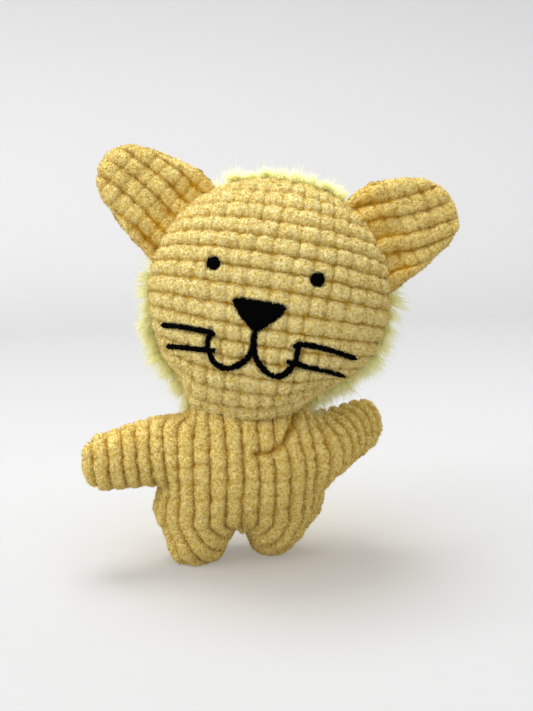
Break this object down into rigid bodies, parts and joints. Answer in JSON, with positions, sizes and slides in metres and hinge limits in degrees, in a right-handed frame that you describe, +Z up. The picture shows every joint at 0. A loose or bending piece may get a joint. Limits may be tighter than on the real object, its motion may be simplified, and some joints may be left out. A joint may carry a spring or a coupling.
{
  "type": "plush cat dog toy",
  "caption": "Stuffed cat-shaped dog toy: ribbed plush face and body, fur mane panel, cupped ears, embroidered face, stub arms and legs, squeaker in the head.",
  "frame": {"origin": "on the floor under the middle of the toy's box", "axes": "+Z up, the toy faces -Y, +X is the toy's left"},
  "size_m": [0.2192, 0.1002, 0.2317],
  "materials": {
    "ribbed_plush": "short pile in wide ribs, cut across into small cells, matt",
    "mane_fur": "long silky pile",
    "black_thread": "satin stitch, slight sheen",
    "fibre_filling": "loose polyester fibre",
    "soft_plastic": "blow-moulded, translucent white",
    "hard_plastic": "moulded, glossy"
  },
  "bodies": {
    "torso": {"body_front_panel": "ribbed_plush", "body_back_panel": "ribbed_plush", "body_filling": "fibre_filling"},
    "neck_cloth": {"neck_sleeve": "ribbed_plush"},
    "neck_core": {"neck_filling": "fibre_filling"},
    "head": {"face_panel": "ribbed_plush", "mane_panel": "mane_fur", "head_filling_front": "fibre_filling", "head_filling_back": "fibre_filling", "eye_right": "black_thread", "eye_left": "black_thread", "nose": "black_thread", "mouth_line": "black_thread", "whisker_right_upper": "black_thread", "whisker_left_upper": "black_thread", "whisker_right_lower": "black_thread", "whisker_left_lower": "black_thread", "squeaker_base": "soft_plastic", "reed_tube": "hard_plastic", "reed": "hard_plastic"},
    "squeaker_button": {"squeaker_cap": "soft_plastic"},
    "ear_right": {"ear_right_front": "ribbed_plush", "ear_right_back": "ribbed_plush", "ear_right_wadding": "fibre_filling"},
    "shoulder_right": {"shoulder_right_filling": "fibre_filling"},
    "arm_right": {"arm_right_front": "ribbed_plush", "arm_right_back": "ribbed_plush", "arm_right_filling": "fibre_filling"},
    "leg_right": {"leg_right_front": "ribbed_plush", "leg_right_back": "ribbed_plush", "leg_right_filling": "fibre_filling"},
    "ear_left": {"ear_left_front": "ribbed_plush", "ear_left_back": "ribbed_plush", "ear_left_wadding": "fibre_filling"},
    "shoulder_left": {"shoulder_left_filling": "fibre_filling"},
    "arm_left": {"arm_left_front": "ribbed_plush", "arm_left_back": "ribbed_plush", "arm_left_filling": "fibre_filling"},
    "leg_left": {"leg_left_front": "ribbed_plush", "leg_left_back": "ribbed_plush", "leg_left_filling": "fibre_filling"}
  },
  "joints": [
    {"name": "head_turn", "type": "hinge", "parent": "torso", "child": "neck_cloth", "pos_m": [-0.01405, -0.00761, 0.08842], "axis": [0.1219, 0, 0.9925], "range_deg": [-30, 30], "stiffness_Nm_per_rad": 1.2},
    {"name": "head_nod", "type": "hinge", "parent": "neck_cloth", "child": "neck_core", "pos_m": [-0.01405, -0.00761, 0.08842], "axis": [0.9925, 0, -0.1219], "range_deg": [-5, 14], "stiffness_Nm_per_rad": 4},
    {"name": "head_tilt", "type": "hinge", "parent": "neck_core", "child": "head", "pos_m": [-0.01405, -0.00761, 0.08842], "axis": [0, 1, 0], "range_deg": [-12, 6], "stiffness_Nm_per_rad": 4},
    {"name": "ear_right_fold", "type": "hinge", "parent": "head", "child": "ear_right", "pos_m": [-0.0497, 0.02573, 0.19474], "axis": [0.6861, -0.0299, 0.7269], "range_deg": [-25, 35], "stiffness_Nm_per_rad": 0.06},
    {"name": "arm_right_raise", "type": "hinge", "parent": "torso", "child": "shoulder_right", "pos_m": [-0.06294, -0.00611, 0.062], "axis": [0, 1, 0], "range_deg": [-14, 22], "stiffness_Nm_per_rad": 0.3},
    {"name": "arm_right_fold", "type": "hinge", "parent": "shoulder_right", "child": "arm_right", "pos_m": [-0.06294, -0.00611, 0.062], "axis": [0, 0, -1], "range_deg": [-28, 28], "stiffness_Nm_per_rad": 0.3},
    {"name": "leg_right_swing", "type": "hinge", "parent": "torso", "child": "leg_right", "pos_m": [-0.04634, -0.00611, 0.02], "axis": [1, 0, 0], "range_deg": [-15, 28], "stiffness_Nm_per_rad": 2},
    {"name": "ear_left_fold", "type": "hinge", "parent": "head", "child": "ear_left", "pos_m": [0.06003, -0.00818, 0.17896], "axis": [0.3725, -0.2972, -0.8792], "range_deg": [-25, 35], "stiffness_Nm_per_rad": 0.06},
    {"name": "arm_left_raise", "type": "hinge", "parent": "torso", "child": "shoulder_left", "pos_m": [0.0292, -0.00411, 0.06], "axis": [0, -1, 0], "range_deg": [-45, 2], "stiffness_Nm_per_rad": 0.3},
    {"name": "arm_left_fold", "type": "hinge", "parent": "shoulder_left", "child": "arm_left", "pos_m": [0.0292, -0.00411, 0.06], "axis": [0, 0, 1], "range_deg": [-28, 28], "stiffness_Nm_per_rad": 0.3},
    {"name": "leg_left_swing", "type": "hinge", "parent": "torso", "child": "leg_left", "pos_m": [-0.00034, -0.00011, 0.02], "axis": [1, 0, 0], "range_deg": [-30, 14], "stiffness_Nm_per_rad": 2},
    {"name": "squeaker_press", "type": "slide", "parent": "head", "child": "squeaker_button", "axis": [0.2614, 0.9426, -0.2079], "range_m": [0, 0.008], "stiffness_N_per_m": 300}
  ]
}
